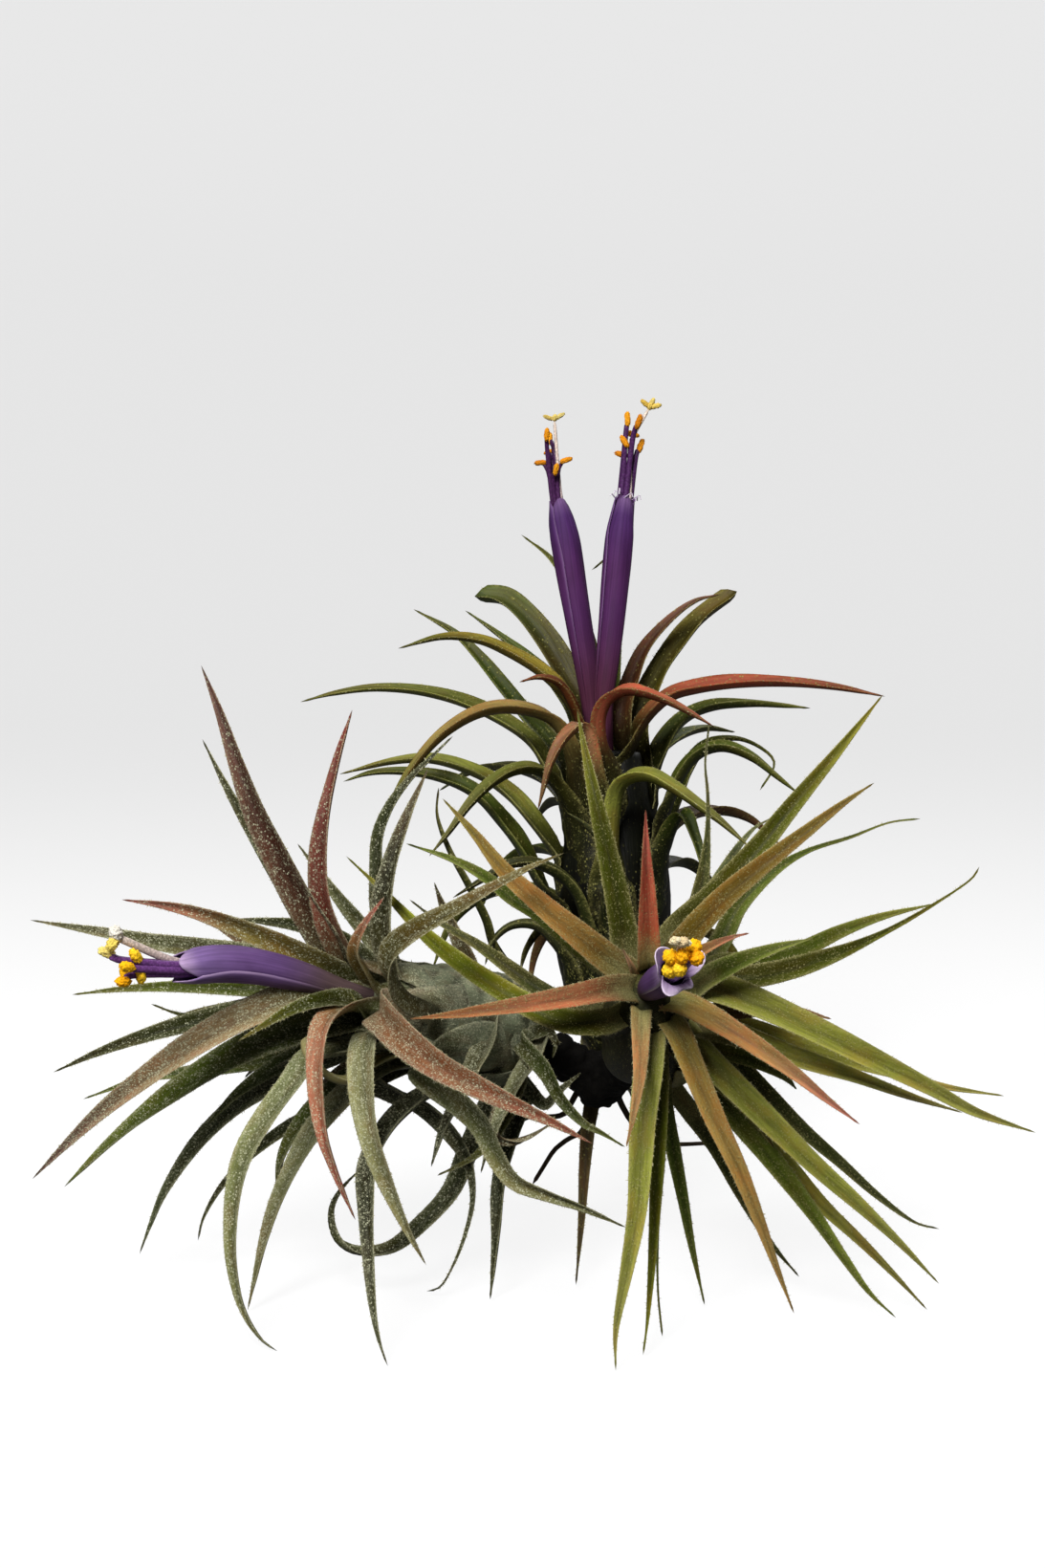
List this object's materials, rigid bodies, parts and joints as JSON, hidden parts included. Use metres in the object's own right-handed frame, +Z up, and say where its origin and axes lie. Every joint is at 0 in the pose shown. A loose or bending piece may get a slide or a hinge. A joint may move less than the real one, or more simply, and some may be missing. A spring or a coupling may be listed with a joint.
{
  "type": "sky plant",
  "caption": "Clump of air plant rosettes joined at a short woody stem, with arching channelled leaves round each bulb and violet tube flowers with long stamens.",
  "frame": {"origin": "on the floor, under the middle of the whole clump's box", "axes": "+Z up, -Y toward the front where the nearest rosette faces, +X to the right seen from the front"},
  "size_m": [0.16, 0.1378, 0.134],
  "materials": {
    "leaf_olive": "matt, scaly",
    "leaf_silver": "matt, scaly",
    "leaf_lime": "matt, scaly",
    "stem_wood": "rough bark",
    "petal": "satin",
    "petal_pale": "satin",
    "anther": "powdery",
    "stigma": "matt"
  },
  "bodies": {
    "root": {"rosette_back": "leaf_olive", "rosette_left": "leaf_silver", "rosette_right": "leaf_lime", "stem": "stem_wood", "corolla_1": "petal", "corolla_2": "petal", "corolla_3": "petal_pale", "corolla_4": "petal_pale", "stamens_1": "anther", "stamens_2": "anther", "stamens_3": "anther", "stamens_4": "anther", "pistil_1": "stigma", "pistil_2": "stigma", "pistil_3": "stigma", "pistil_4": "stigma"}
  },
  "joints": []
}
